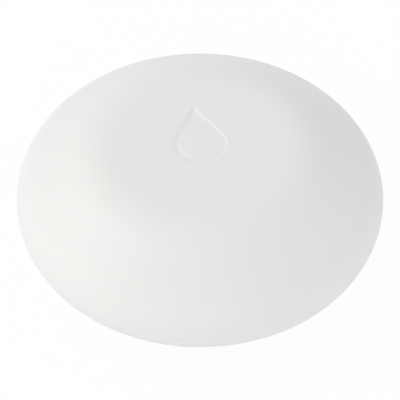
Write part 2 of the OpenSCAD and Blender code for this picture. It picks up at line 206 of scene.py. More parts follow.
def bentStrip(name, corners, y, strip):
    # sheet metal along an (x, z) path
    piece = drawLine(name, [(x, y, z) for x, z in softLine(corners, step=15)])
    editAll(piece)
    extrude((0, strip["width"] * mm, 0))
    leaveEdit()
    closeUp(piece)
    modified(piece, "SOLIDIFY", thickness=strip["thick"] * mm, offset=0, use_even_offset=True)
    modified(piece, "BEVEL", width=strip["edge"] * mm, segments=2,
             limit_method="ANGLE", angle_limit=math.radians(60))
    return piece


def copied(piece, turn=0, move=(0, 0, 0)):
    focus(piece)
    bpy.ops.object.duplicate()
    copy = bpy.context.object
    lay(copy, turn, move)
    return copy


def joined(name, pieces):
    focus(pieces[0])
    for piece in pieces:
        piece.select_set(True)
    bpy.ops.object.join()
    return named(name)


def spread(piece, places):
    # one copy for each (turn, x, y, z), joined under the piece's name
    name = piece.name
    copies = [copied(piece, turn, move) for turn, *move in places]
    bpy.data.objects.remove(piece)
    return joined(name, copies)


def ringOf(piece, angles):
    return spread(piece, [(angle, 0, 0, 0) for angle in angles])


def carve(piece, tool, how="DIFFERENCE"):
    modified(piece, "BOOLEAN", operation=how, solver="EXACT", object=tool)
    bpy.data.objects.remove(tool)


def pick(piece, kind, test):
    # edit mode with only those faces or edges selected that pass the test
    editAll(piece, kind)
    bpy.ops.mesh.select_all(action="DESELECT")
    leaveEdit()
    mesh = piece.data
    for part in mesh.polygons if kind == "FACE" else mesh.edges:
        if test(part):
            part.select = True
            for i in part.vertices:
                mesh.vertices[i].select = True
    bpy.ops.object.mode_set(mode="EDIT")


def roundUprights(piece, radius):
    def upright(edge):
        a, b = (piece.data.vertices[i].co for i in edge.vertices)
        return (a - b).xy.length < tiny["plumb"] * mm
    pick(piece, "EDGE", upright)
    bevel(radius, 4)
    leaveEdit()


def fillLevel(piece, height):
    # a flat face between the open edges at one height
    mesh = piece.data
    uses = Counter(key for face in mesh.polygons for key in face.edge_keys)
    pick(piece, "EDGE", lambda edge: uses[edge.key] == 1 and all(
        abs(mesh.vertices[i].co.z / mm - height) < tiny["level"] for i in edge.vertices))
    bpy.ops.mesh.fill()
    leaveEdit()


def smooth(piece, angle):
    focus(piece)
    bpy.ops.object.shade_smooth_by_angle(angle=math.radians(angle))


def paintFaces(piece, test):
    # the second finish, on the faces whose centre passes the test
    for face in piece.data.polygons:
        if test(face.center / mm):
            face.material_index = 1


def coat(piece, *names):
    for name in names:
        piece.data.materials.append(finishes[name])


def settle(piece, slot, *names, node=None, body="housing", angle=32.0):
    if angle:
        smooth(piece, angle)
    coat(piece, *names)
    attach(piece, body)
    if node:
        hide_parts(node)


# finishes

finishes = {}


def mathsMethod(operation, swapped=False):
    return lambda self, other: self.maths(operation, other, swapped)


class Wire:
    # a socket, whose sums and products add Math nodes
    def __init__(self, graph, socket):
        self.graph = graph
        self.socket = socket

    def maths(self, operation, other=0.0, swapped=False):
        pair = (other, self) if swapped else (self, other)
        return self.graph.node("ShaderNodeMath", dict(enumerate(pair)), operation=operation)

    __add__ = __radd__ = mathsMethod("ADD")
    __sub__, __rsub__ = mathsMethod("SUBTRACT"), mathsMethod("SUBTRACT", swapped=True)
    __mul__ = __rmul__ = mathsMethod("MULTIPLY")
    __pow__ = mathsMethod("POWER")
    __gt__ = mathsMethod("GREATER_THAN")
    __lt__ = mathsMethod("LESS_THAN")


class Graph:
    def __init__(self, tree):
        self.tree = tree

    def node(self, kind, sockets={}, output=0, **settings):
        made = self.tree.nodes.new(kind)
        for key, value in settings.items():
            setattr(made, key, value)
        for key, value in sockets.items():
            self.plug(value, made.inputs[key])
        return Wire(self, made.outputs[output])

    def plug(self, value, socket):
        if isinstance(value, Wire):
            self.tree.links.new(value.socket, socket)
        else:
            socket.default_value = (*value, 1.0) if socket.type == "RGBA" else value


class Finish(Graph):
    def __init__(self, name, **constant):
        finishes[name] = material = bpy.data.materials.new(name)
        material.use_nodes = True
        super().__init__(material.node_tree)
        self.shader = self.tree.nodes["Principled BSDF"]
        self.object = self.node("ShaderNodeTexCoord", output="Object")
        self.paint({key.replace("_", " "): value for key, value in constant.items()})

    def paint(self, sockets):
        for key, value in sockets.items():
            self.plug(value, self.shader.inputs[key])

    def noise(self, scale, detail=2.0, place=None):
        where = place or self.object
        return self.node("ShaderNodeTexNoise", {"Vector": where, "Scale": scale, "Detail": detail})

    def mapped(self, **sockets):
        return self.node("ShaderNodeMapping", {"Vector": self.object, **sockets})

    def mix(self, share, first, second):
        return self.node("ShaderNodeMix", {0: share, 6: first, 7: second}, 2, data_type="RGBA")

    def axis(self, name):
        return self.node("ShaderNodeSeparateXYZ", {0: self.object}, name) * (1 / mm)

    def away(self, axes, middle):
        # the distance from a line along the third axis
        first, second = (self.axis(name) - centre for name, centre in zip(axes, middle))
        return (first ** 2.0 + second ** 2.0) ** 0.5

    def bump(self, height, strength, depth):
        sockets = {"Height": height, "Strength": strength, "Distance": depth * mm}
        self.paint({"Normal": self.node("ShaderNodeBump", sockets)})


def plasticFinish(name, light, dark, rough, grain=5200.0, strength=0.06):
    # moulded plastic: a slight drift of colour, a fine spark texture and uneven gloss
    made = Finish(name, IOR=1.49)
    made.paint({
        "Base Color": made.mix(made.noise(42.0, 3.0), light, dark),
        "Roughness": rough + (made.noise(620.0) - 0.5) * 0.1,
    })
    made.bump(made.noise(grain), strength, 0.02)


def metalFinish(name, bright, dull, rough, streaks=(900, 900, 120)):
    # plated metal: drawn streaks in the gloss and a slow change of tint
    made = Finish(name, Metallic=1.0)
    streak = made.noise(1.0, 4.0, made.mapped(Scale=streaks))
    made.paint({
        "Base Color": made.mix(made.noise(260.0, 3.0), bright, dull),
        "Roughness": rough + (streak - 0.5) * 0.16,
    })
    made.bump(streak, 0.05, 0.01)


def rubberFinish(name, light, dark):
    made = Finish(name, IOR=1.5)
    bloom = made.noise(180.0, 4.0)
    made.paint({
        "Base Color": made.mix(bloom, dark, light),
        "Roughness": 0.62 + bloom * 0.16,
    })
    made.bump(made.noise(3400.0, 3.0), 0.16, 0.02)


plastics = {                                   # light, dark, roughness, grain and its strength
    "coverWhite": ((0.811, 0.803, 0.790), (0.801, 0.793, 0.778), 0.5),
    "baseWhite": ((0.770, 0.772, 0.752), (0.752, 0.754, 0.732), 0.56, 3600.0, 0.12),
    "blackPlastic": ((0.030, 0.030, 0.032), (0.018, 0.018, 0.020), 0.46, 2600.0, 0.14),
    "plungerRed": ((0.46, 0.030, 0.032), (0.40, 0.022, 0.026), 0.38),
    "buttonTan": ((0.50, 0.36, 0.20), (0.45, 0.32, 0.17), 0.42),
    "ceramicTan": ((0.42, 0.30, 0.17), (0.35, 0.24, 0.13), 0.48, 2600.0, 0.12),
    "printWhite": ((0.76, 0.76, 0.73), (0.68, 0.68, 0.65), 0.6, 2400.0, 0.2),
}
metals = {                                     # bright, dull, roughness, scale of the streaks
    "steel": ((0.66, 0.66, 0.67), (0.55, 0.55, 0.57), 0.3),
    "nickel": ((0.74, 0.70, 0.62), (0.64, 0.60, 0.53), 0.24, (120, 900, 900)),
    "gold": ((0.92, 0.68, 0.30), (0.84, 0.60, 0.25), 0.22),
    "copper": ((0.80, 0.40, 0.22), (0.68, 0.32, 0.17), 0.3),
    "tin": ((0.72, 0.72, 0.71), (0.60, 0.60, 0.59), 0.34),
}
rubbers = {                                    # light, dark
    "padGrey": ((0.42, 0.42, 0.41), (0.36, 0.36, 0.355)),
    "sealBlack": ((0.050, 0.051, 0.054), (0.022, 0.022, 0.024)),
}
for makeFinish, table in ((plasticFinish, plastics), (metalFinish, metals), (rubberFinish, rubbers)):
    for finishName, values in table.items():
        makeFinish(finishName, *values)
print("shared finishes made")


# the case's outline, shared by the cover and the base

case = {
    "rimC": (27.3, 13.7), "rimR": 8.7, "topZ": 28.0,
    "slope": 34.4, "shoulderR": 14.5, "wall": 2.0,
    "underSlope": 42.0, "footR": 3.0, "footZ": 1.0,
    "seamZ": 7.2, "lipZ": 7.4, "landZ": 9.2, "lipWidth": 2.4,
    "lockAngles": (30, 150, 270), "lockLead": 48.0, "lockT": 1.7, "lugZ": 9.8, "ribZ": 11.8,
    "steps": 192,
}
slopeTurn = math.radians(case["slope"])
underTurn = math.radians(case["underSlope"])
rimR0, rimZ0 = case["rimC"]
highPoint = (rimR0 + case["rimR"] * math.sin(slopeTurn), rimZ0 + case["rimR"] * math.cos(slopeTurn))
lowPoint = (rimR0 + case["rimR"] * math.sin(underTurn), rimZ0 - case["rimR"] * math.cos(underTurn))
topCorner = highPoint[0] - (case["topZ"] - highPoint[1]) / math.tan(slopeTurn)
shoulderC = (topCorner - case["shoulderR"] * math.tan(slopeTurn / 2), case["topZ"] - case["shoulderR"])
footCorner = lowPoint[0] - (lowPoint[1] - case["footZ"]) / math.tan(underTurn)
flangeR = lowPoint[0] - (lowPoint[1] - case["seamZ"]) / math.tan(underTurn)
mouthR = flangeR - case["lipWidth"]


def lockBars(name, radii, low, arc, innerEdge, outerEdge, steps):
    # bars that climb at the lock's lead, with their free side rounded
    inner, outer = radii
    high = low + case["lockT"]
    section = [
        (inner, low, innerEdge), (outer, low, outerEdge), (outer, high, outerEdge), (inner, high, innerEdge),
    ]
    bar = ringBar(name, section, 0, arc, case["lockLead"] * arc / 360, steps)
    return ringOf(bar, case["lockAngles"])


# top cover

cover = {
    "arcSteps": (1.5, 2.5, 5.0),               # degrees on the shoulder, the rim and the inside
    "plateauIn": (0.6, 0.25),                  # loops inside the flat top's edge
    "lipEdge": 0.3,
    "pressR": (19.2, 20.8), "pressZ": 20.4, "pressEdge": 0.3,
    "lugR": (29.083, 34.3), "lugArc": 24.0, "lugEdge": 0.25,
    "dropAt": (0.0, 1.1), "dropR": 4.65, "dropHalf": 33.0,
    "groove": (                                # out from the middle line, height, slopes to right and back
        (0.849, 0.0, 0.0, 0.0), (0.523, -0.150, -0.0229, -0.0134),
        (-0.449, -0.218, 0.0165, -0.0093), (-0.820, -0.104, -0.0128, -0.0222),
    ),
    "grooveSoft": ((0.14, 0.84), (0.08, 0.90), (0.16, 0.84)),   # the straight share between two corners
    "grooveRim": (0.18, 0.06), "islandIn": 0.12,
    "fence": (4.55, 5.35), "fenceZ": 24.8, "fenceEdge": 0.15,
}


def dropPoints(radius, height):
    x, y = cover["dropAt"]
    lean = 90 - cover["dropHalf"]
    points = []
    for k in range(case["steps"]):
        degrees = 360 * k / case["steps"]
        off = abs(degrees - 90)
        reach = radius / math.cos(math.radians(lean - off)) if off < lean else radius
        turn = math.radians(degrees)
        points.append((x + reach * math.cos(turn), y + reach * math.sin(turn), height))
    return points


def dropSweep(name, rings, filled=True):
    # a drop outline carried through rings of (radius, height), which may lean by two slopes
    rings = [(*ring, 0.0, 0.0)[:4] for ring in rings]
    piece = drawLine(name, dropPoints(*rings[0][:2]), closed=True)
    editAll(piece)
    for (fromR, fromZ, *fromLean), (toR, toZ, *toLean) in zip(rings, rings[1:]):
        extrude((0, 0, (toZ - fromZ) * mm))
        middle = Vector((*cover["dropAt"], toZ)) * mm
        bpy.ops.transform.resize(value=[toR / fromR] * 3, center_override=middle)
        for axis, way, start, end in zip("YX", (1, -1), fromLean, toLean):
            if start != end:
                turn = way * (math.atan(end) - math.atan(start))
                bpy.ops.transform.rotate(value=turn, orient_axis=axis, center_override=middle)
    if filled:
        bpy.ops.mesh.edge_face_add()
    leaveEdit()
    return piece


def markRings():
    corners = cover["groove"]
    rings = [(corners[0][0] + out, *corners[0][1:]) for out in cover["grooveRim"]]
    for here, there, shares in zip(corners, corners[1:], cover["grooveSoft"]):
        rings += [tuple(a + (b - a) * share for a, b in zip(here, there)) for share in shares]
    rings.append((corners[-1][0] - cover["islandIn"], *corners[-1][1:]))
    return [(cover["dropR"] + out, case["topZ"] + height, *lean) for out, height, *lean in rings]


def makeCover():
    wall, topZ = case["wall"], case["topZ"]
    ceiling = topZ - wall
    lean = 90 - case["slope"]
    outStep, rimStep, inStep = cover["arcSteps"]
    shoulder = arcPoints(shoulderC, case["shoulderR"], 90, lean, outStep)
    lipTurn = math.degrees(math.asin((case["lipZ"] - rimZ0) / case["rimR"]))
    rim = arcPoints(case["rimC"], case["rimR"], lean, 0, rimStep)
    rim += arcPoints(case["rimC"], case["rimR"], 0, lipTurn, rimStep)[1:]
    landTurn = math.degrees(math.asin((case["landZ"] - rimZ0) / (case["rimR"] - wall)))
    inner = arcPoints(case["rimC"], case["rimR"] - wall, landTurn, lean, inStep)
    roof = case["shoulderR"] - wall
    pressIn, pressOut = cover["pressR"]
    outTurn, inTurn = (math.degrees(math.acos((r - shoulderC[0]) / roof)) for r in (pressOut, pressIn))
    ceilingOut = arcPoints(shoulderC, roof, lean, outTurn, inStep)
    ceilingIn = arcPoints(shoulderC, roof, inTurn, 90, inStep)
    press = softLine([
        ceilingOut[-1], (pressOut, cover["pressZ"], cover["pressEdge"]),
        (pressIn, cover["pressZ"], cover["pressEdge"]), ceilingIn[0],
    ])
    lip = softLine([
        rim[-4], (rim[-1][0], case["lipZ"], cover["lipEdge"]), (mouthR, case["lipZ"], cover["lipEdge"]),
        (mouthR, case["landZ"]), inner[0],
    ])
    farIn, nearIn = (shoulderC[0] - d for d in cover["plateauIn"])
    outline = [(farIn, topZ), (nearIn, topZ), *shoulder, *rim[:-3], *lip[1:-1], *inner]
    outline += [*ceilingOut[:-1], *press, *ceilingIn[1:], (nearIn, ceiling), (farIn, ceiling)]
    piece = turned("topCover", outline, steps=case["steps"])

    mark = dropSweep("dropMark", markRings())
    fenceIn, fenceOut = cover["fence"]
    foot, edge = cover["fenceZ"], cover["fenceEdge"]
    fence = dropSweep("guideFence", [
        (fenceOut + edge, ceiling), (fenceOut, ceiling - edge),
        (fenceOut, foot + edge), (fenceOut - edge, foot), (fenceIn + edge, foot), (fenceIn, foot + edge),
        (fenceIn, ceiling), (fenceIn - edge, ceiling),
    ])
    piece = joined("topCover", [piece, mark, fence])
    for height in (topZ, ceiling):
        fillLevel(piece, height)
    closeUp(piece)
    lugs = lockBars("coverLugs", cover["lugR"], case["lugZ"], cover["lugArc"], cover["lugEdge"], 0, 12)
    carve(piece, lugs, "UNION")
    closeUp(piece)
    settle(piece, "cover_shell", "coverWhite", node="top_cover", body="cover")


makeCover()
print("top cover made")


# bottom housing

base = {
    "collarR": (27.183, 28.783), "collarTop": 19.133, "collarEdge": 0.4, "collarFillet": (0.6, 0.2),
    "floorLoops": (12, 20), "flangeIn": 2, "flangeEdge": 0.3,
    "plateR": (6, 13, 14.0, 14.2), "plateDeep": 0.25,
    "ribR": (28.483, 30.283), "ribArc": 40.0, "ribEdge": 0.3, "stopArc": 3.0, "stopGap": 1.5,
    "padAngles": (90, 210, 330), "padR": (21.046, 24.546), "padArc": 50.0, "padEdge": 0.35, "padFrom": -0.01,
    "bossAt": 23.483, "bossR": 2.6, "bossTop": 9.0, "postEdge": 0.25,
    "pilotR": (1.05, 1.55), "pilotZ": (3.7, 8.8, 9.3),
    "tubeAngles": (270, 150, 30), "tubeAt": 22.883, "tubeR": 3.4, "tubeTop": 6.55,
    "guideR": 1.75, "guideTop": 3.4, "chamberR": 2.4, "mouthChamfer": 0.5, "mouthBelow": 0.4,
    "saddleX": (-8.0, 8.0), "saddleT": 2.0, "saddleY": (-14.7, -2.7), "saddleR": 8.1, "saddleC": (-8.7, 11.1),
    "under": 0.6,                              # how far an added form reaches into the floor
}


def makeSaddle(x):
    low = case["footZ"] + case["wall"] - base["under"]
    y0, y1 = base["saddleY"]
    reach = math.degrees(math.acos((y1 - base["saddleC"][0]) / base["saddleR"]))
    bed = arcPoints(base["saddleC"], base["saddleR"], -reach, reach - 180, 5)
    outline = [(y0, low), (y1, low), *bed]
    piece = drawLine("saddle", [(x - base["saddleT"] / 2, y, z) for y, z in outline], closed=True)
    editAll(piece)
    bpy.ops.mesh.edge_face_add()
    extrude((base["saddleT"] * mm, 0, 0))
    leaveEdit()
    closeUp(piece)
    return piece


def makeBase():
    footZ, seamZ = case["footZ"], case["seamZ"]
    floor = footZ + case["wall"]
    innerFoot = case["footR"] - case["wall"]
    footC = footCorner - case["footR"] * math.tan(underTurn / 2)
    innerCorner = footC + innerFoot * math.tan(underTurn / 2)
    collarIn, collarOut = base["collarR"]
    collarTop, collarEdge = base["collarTop"], base["collarEdge"]
    inFillet, outFillet = base["collarFillet"]
    wallZ = floor + (collarIn - innerCorner) * math.tan(underTurn)
    loopIn, loopOut = base["floorLoops"]
    flangeIn = (flangeR - base["flangeIn"], seamZ)
    plateIn, plateLoop, plateR, plateRim = base["plateR"]
    plateZ = footZ + base["plateDeep"]
    outline = [(0, floor), (loopIn, floor)]
    outline += softLine([
        (loopOut, floor), (innerCorner, floor, innerFoot), (collarIn, wallZ, inFillet),
        (collarIn, collarTop, collarEdge), (collarOut, collarTop, collarEdge),
        (collarOut, seamZ, outFillet), flangeIn,
    ], step=10)
    outline += softLine([
        flangeIn, (flangeR, seamZ, base["flangeEdge"]),
        (footCorner, footZ, case["footR"]), (footC - 1, footZ),
    ], step=6)[1:]
    outline += [
        (loopOut, footZ), (plateRim, footZ),
        (plateR, plateZ), (plateLoop, plateZ), (plateIn, plateZ), (0, plateZ),
    ]
    piece = turned("bottomHousing", outline, steps=case["steps"])

    under, padTop = floor - base["under"], footZ + base["under"]
    boss = peg("boss", base["bossR"], under, base["bossTop"], base["postEdge"], (base["bossAt"], 0))
    tube = peg("tube", base["tubeR"], under, base["tubeTop"], base["postEdge"], (base["tubeAt"], 0), 64)
    padIn, padOut = base["padR"]
    edge = base["padEdge"]
    foot = ringBar("foot", [(padIn, padTop), (padIn, 0, edge), (padOut, 0, edge), (padOut, padTop)],
                   -base["padArc"] / 2, base["padArc"], steps=32)
    ribIn, ribOut = base["ribR"]
    ribZ, edge = case["ribZ"], base["ribEdge"]
    stopZ, stopTop = case["lugZ"], ribZ + case["lockT"]
    stop = ringBar("stop", [(ribIn, stopZ), (ribOut, stopZ, edge), (ribOut, stopTop, edge), (ribIn, stopTop)],
                   -base["stopGap"] - base["stopArc"], base["stopArc"], steps=3)
    added = [
        ringOf(boss, base["padAngles"]), ringOf(tube, base["tubeAngles"]), ringOf(foot, base["padAngles"]),
        lockBars("ribs", base["ribR"], ribZ, base["ribArc"], 0, edge, 24), ringOf(stop, case["lockAngles"]),
        *[makeSaddle(x) for x in base["saddleX"]],
    ]
    carve(piece, joined("added", added), "UNION")

    pilotR, sinkR = base["pilotR"]
    pilotZ, sinkZ, pilotTop = base["pilotZ"]
    pilot = turned("pilot", [
        (0, pilotZ), (pilotR, pilotZ), (pilotR, sinkZ), (sinkR, pilotTop), (0, pilotTop),
    ], (base["bossAt"], 0), 32)
    guideR, chamfer, below = base["guideR"], base["mouthChamfer"], base["mouthBelow"]
    bore = turned("bore", [
        (0, footZ - below), (guideR + chamfer + below, footZ - below), (guideR, footZ + chamfer),
        (guideR, base["guideTop"]), (base["chamberR"], base["guideTop"]),
        (base["chamberR"], base["bossTop"]), (0, base["bossTop"]),
    ], (base["tubeAt"], 0), 64)
    carve(piece, joined("cuts", [ringOf(pilot, base["padAngles"]), ringOf(bore, base["tubeAngles"])]))
    settle(piece, "base_shell", "baseWhite", "padGrey", node="bottom_housing")
    paintFaces(piece, lambda centre: centre.z < footZ + base["padFrom"])


makeBase()
print("bottom housing made")


# seal ring

seal = {"ringR": 29.733, "ringZ": 8.1, "wireR": 0.85}


def makeSeal():
    section = arcPoints((seal["ringR"], seal["ringZ"]), seal["wireR"], 0, 360, 15)
    piece = turned("sealRing", section, steps=case["steps"])
    settle(piece, "seal_rubber", "sealBlack", node="seal_ring", body="seal")


# light guide

guide = {
    "headR": 4.25, "headZ": (24.8, 26.0), "headEdge": 0.15,
    "stemAt": (0.0, 3.1), "stemR": (1.8, 2.34), "stemZ": (12.2, 25.4), "stemEdge": 0.2,
}


def clearFinish():
    # clear plastic with a faint milky drift
    made = Finish("clearPlastic", IOR=1.57, Transmission_Weight=1.0)
    cloud = made.noise(160.0, 3.0)
    made.paint({
        "Base Color": made.mix(cloud, (0.93, 0.955, 0.96), (0.985, 0.99, 0.985)),
        "Roughness": 0.1 + cloud * 0.12,
    })


def makeGuide():
    low, high = guide["headZ"]
    radius, edge = guide["headR"], guide["headEdge"]
    piece = dropSweep("lightGuide", [
        (radius - edge, low), (radius, low + edge), (radius, high - edge), (radius - edge, high),
    ], filled=False)
    closeUp(piece, fill=True)
    footR, topR = guide["stemR"]
    footZ, topZ = guide["stemZ"]
    stem = [(0, footZ), (footR, footZ, guide["stemEdge"]), (topR, topZ), (0, topZ)]
    carve(piece, turned("stem", stem, guide["stemAt"]), "UNION")
    clearFinish()
    settle(piece, "clear_guide", "clearPlastic", node="light_guide", body="cover")


makeSeal()
makeGuide()
print("seal ring and light guide made")


# circuit board

board = {
    "radius": 26.383, "loopR": 22.383, "z": (9.0, 10.6), "edge": 0.08,
    "windows": ((14.0, -17.0, -0.4), (16.5, -9.7415, -3.7415)), "windowH": 6, "corner": 0.5,
    "holeR": 1.15, "skin": 0.05, "traceScale": 240.0,
}
deck = board["z"][1]


def maskFinish():
    # green mask over copper, with etched lines, plated dots and a glass-fibre edge
    made = Finish("boardMask", IOR=1.52, Coat_Roughness=0.12)
    lines = [made.node("ShaderNodeTexBrick", {
        "Vector": made.mapped(Rotation=(0, 0, turn)), "Scale": board["traceScale"],
        "Mortar Size": 0.035, "Brick Width": 1.7, "Row Height": 0.27,
    }, "Fac", offset=0.37, squash=1.0) for turn in (0.0, math.pi / 2)]
    where = made.noise(95.0, 1.0) > 0.5
    etched = where * lines[0] + (1 - where) * lines[1]
    spots = made.node("ShaderNodeTexVoronoi", {
        "Vector": made.object, "Scale": 330.0, "Randomness": 0.85,
    }, voronoi_dimensions="2D")
    dots = (spots < 0.13) * (made.noise(210.0, 1.0) > 0.5)
    z = made.axis("Z")
    core = (z > board["z"][0] + board["skin"]) * (z < deck - board["skin"])
    green = made.mix(etched, (0.018, 0.135, 0.058), (0.007, 0.066, 0.030))
    green = made.mix(made.noise(48.0, 3.0) * 0.35, green, (0.030, 0.165, 0.075))
    plated = made.mix(dots, green, (0.80, 0.58, 0.24))
    fibre = made.mix(made.noise(1500.0), (0.34, 0.33, 0.17), (0.24, 0.25, 0.12))
    made.paint({
        "Base Color": made.mix(core, plated, fibre),
        "Metallic": dots * (1 - core),
        "Roughness": 0.3 + core * 0.4 + (made.noise(900.0) - 0.5) * 0.1,
        "Coat Weight": (1 - core) * 0.4,
    })
    made.bump((1 - etched) + dots, 0.35, 0.03)


def makeBoard():
    low, high = board["z"]
    radius, loop, edge = board["radius"], board["loopR"], board["edge"]
    piece = turned("circuitBoard", [
        (0, low), (loop, low), (radius, low, edge), (radius, high, edge), (loop, high), (0, high),
    ], steps=144)
    for half, front, back in board["windows"]:
        tall = board["windowH"]
        tool = boxPiece("window", (0, (front + back) / 2, deck - tall / 2), (2 * half, back - front, tall))
        roundUprights(tool, board["corner"])
        carve(piece, tool)
    hole = peg("hole", board["holeR"], low - 1, high + 1, at=(screw["at"], 0), steps=40)
    carve(piece, ringOf(hole, screw["angles"]))
    maskFinish()
    settle(piece, "board_mask", "boardMask", node="circuit_board")


# board screws

screw = {
    "at": 23.483, "angles": (90, 210, 330), "headR": 1.9, "headH": 1.2, "headEdge": (0.12, 0.55),
    "shankR": 1.0, "coreR": 0.8, "neck": 0.4, "tipZ": 4.0, "tipR": 0.48, "pitch": 0.5, "firstTurn": 0.4,
    "slot": (6, 0.5, 2), "slotDeep": 0.6,
}


def makeScrews():
    shankR, headR, pitch = screw["shankR"], screw["headR"], screw["pitch"]
    outline = [(0, screw["tipZ"]), (screw["tipR"], screw["tipZ"])]
    for k in range(int((board["z"][0] - screw["tipZ"]) / pitch)):
        z = screw["tipZ"] + (k + screw["firstTurn"]) * pitch
        outline += [(screw["coreR"], z), (shankR, z + pitch / 2)]
    top = deck + screw["headH"]
    lowEdge, topEdge = screw["headEdge"]
    outline += softLine([
        (shankR, deck - screw["neck"]), (shankR, deck),
        (headR, deck, lowEdge), (headR, top, topEdge), (0, top),
    ])
    piece = turned("boardScrews", outline, (screw["at"], 0), 40)
    carve(piece, boxPiece("slot", (screw["at"], 0, top - screw["slotDeep"]), screw["slot"]))
    settle(ringOf(piece, screw["angles"]), "steel", "steel", node="board_screws", angle=40)


makeBoard()
makeScrews()
print("circuit board and screws made")


# battery and its contacts

battery = {
    "centre": (0, -8.7, 11.1), "radius": 7.8, "ends": (-13.5, 13.5), "shoulder": 12.7, "rimEdge": 0.7,
    "bead": (9.9, 11.1), "beadDeep": 0.25, "beadSoft": 0.3,
    "foldR": 6.7, "foldDeep": (0.2, 0.3), "foldLip": 0.1, "foldIn": (0.3, 0.2), "foldEdge": (0.05, 0.08, 0.1),
    "terminalR": (3.0, 3.4), "terminalEdge": 0.35,
    "bandAt": 6.4, "bandWidth": 0.5,
}
contact = {
    "path": [(19.55, 10.8), (17.35, 10.8, 0.5), (17.35, 15.0, 0.7), (13.75, 15.0, 0.7), (13.75, 8.6)],
    "y": -9.2415, "width": 5.0, "thick": 0.4, "edge": 0.07,
}


def cellFinish():
    # shrunk sleeve in two colours over a nickel can
    made = Finish("cellSleeve", IOR=1.5, Coat_Roughness=0.1)
    bare = made.away("YZ", battery["centre"][1:]) < battery["foldR"]
    x = made.axis("X")
    band = x > battery["bandAt"]
    line = (x > battery["bandAt"] - battery["bandWidth"]) * (x < battery["bandAt"])
    haze = made.noise(70.0, 3.0)
    body = made.mix(haze, (0.022, 0.085, 0.215), (0.030, 0.105, 0.250))
    sleeve = made.mix(band, body, made.mix(haze, (0.60, 0.62, 0.63), (0.66, 0.67, 0.68)))
    sleeve = made.mix(line, sleeve, (0.70, 0.70, 0.70))
    bareMetal = made.mix(made.noise(400.0, 3.0), (0.70, 0.68, 0.63), (0.60, 0.58, 0.54))
    made.paint({
        "Base Color": made.mix(bare, sleeve, bareMetal),
        "Metallic": bare.maths("MAXIMUM", line * 0.7),
        "Roughness": 0.24 + bare * 0.06 + (made.noise(500.0) - 0.5) * 0.1,
        "Coat Weight": (1 - bare) * 0.35,
    })
    made.bump(made.noise(300.0, 3.0), 0.06, 0.05)


def makeBattery():
    low, high = battery["ends"]
    radius, fold, shoulder, rim = (battery[key] for key in ("radius", "foldR", "shoulder", "rimEdge"))
    beadLow, beadHigh = battery["bead"]
    waist, soft = radius - battery["beadDeep"], battery["beadSoft"]
    foot, sunk = low + battery["foldDeep"][0], shoulder - battery["foldDeep"][1]
    edge, footEdge, topEdge = battery["foldEdge"]
    dishR, dishFloorR = (fold - inwards for inwards in battery["foldIn"])
    lip = battery["foldLip"]
    terminalR, terminalFoot = battery["terminalR"]
    piece = turned("batteryCell", [
        (0, low), (dishR, low, edge), (dishFloorR, foot, edge), (fold, foot, edge),
        (fold + lip, low, footEdge), (radius, low, rim),
        (radius, beadLow - soft, soft), (waist, beadLow + soft, soft),
        (waist, beadHigh - soft, soft), (radius, beadHigh + soft, soft), (radius, shoulder, rim),
        (fold, shoulder, topEdge), (fold - lip, sunk, edge), (terminalFoot, sunk, topEdge),
        (terminalR, shoulder, topEdge), (terminalR, high, battery["terminalEdge"]), (0, high),
    ], steps=96)
    lay(piece, 90, battery["centre"], axis=1)
    cellFinish()
    settle(piece, "battery_can", "cellSleeve", node="battery", angle=40)


def makeContacts():
    piece = bentStrip("batteryContactPositive", contact["path"], contact["y"], contact)
    copied(piece)
    other = named("batteryContactNegative")
    other.scale.x = -1
    bpy.ops.object.transform_apply(location=False, rotation=False, scale=True)
    closeUp(other)
    for made, pole in ((piece, "positive"), (other, "negative")):
        settle(made, "contact_plating", "nickel", node="battery_contact_" + pole, angle=40)


makeBattery()
makeContacts()
print("battery and contacts made")


# siren

siren = {
    "at": (10.5, 12.6), "radius": 6.5, "height": 7.5, "wall": 0.8, "ledge": 2.5,
    "topEdge": 0.7, "innerEdge": 0.3,
    "skirtH": (1.2, 1.3), "skirtStep": 0.12, "skirtEdge": (0.15, 0.1), "holeR": 1.3, "holeEdge": 0.25,
    "grooveR": (3.1, 3.2, 3.8, 3.9), "grooveDeep": 0.15, "fine": 0.05,
    "discR": 5.65, "discT": 0.3, "discEdge": (0.06, 0.04), "ceramicR": 4.0, "ceramicT": 0.1,
}


def discFinish():
    # brass with a silvered ceramic patch in the middle
    made = Finish("sirenBrass")
    patch = made.away("XY", siren["at"]) < siren["ceramicR"]
    grain = made.noise(300.0, 3.0)
    metal = made.mix(grain, (0.78, 0.58, 0.26), (0.68, 0.49, 0.21))
    made.paint({
        "Base Color": made.mix(patch, metal, (0.66, 0.66, 0.64)),
        "Metallic": 1 - patch * 0.6,
        "Roughness": 0.3 + patch * 0.2 + (grain - 0.5) * 0.1,
    })


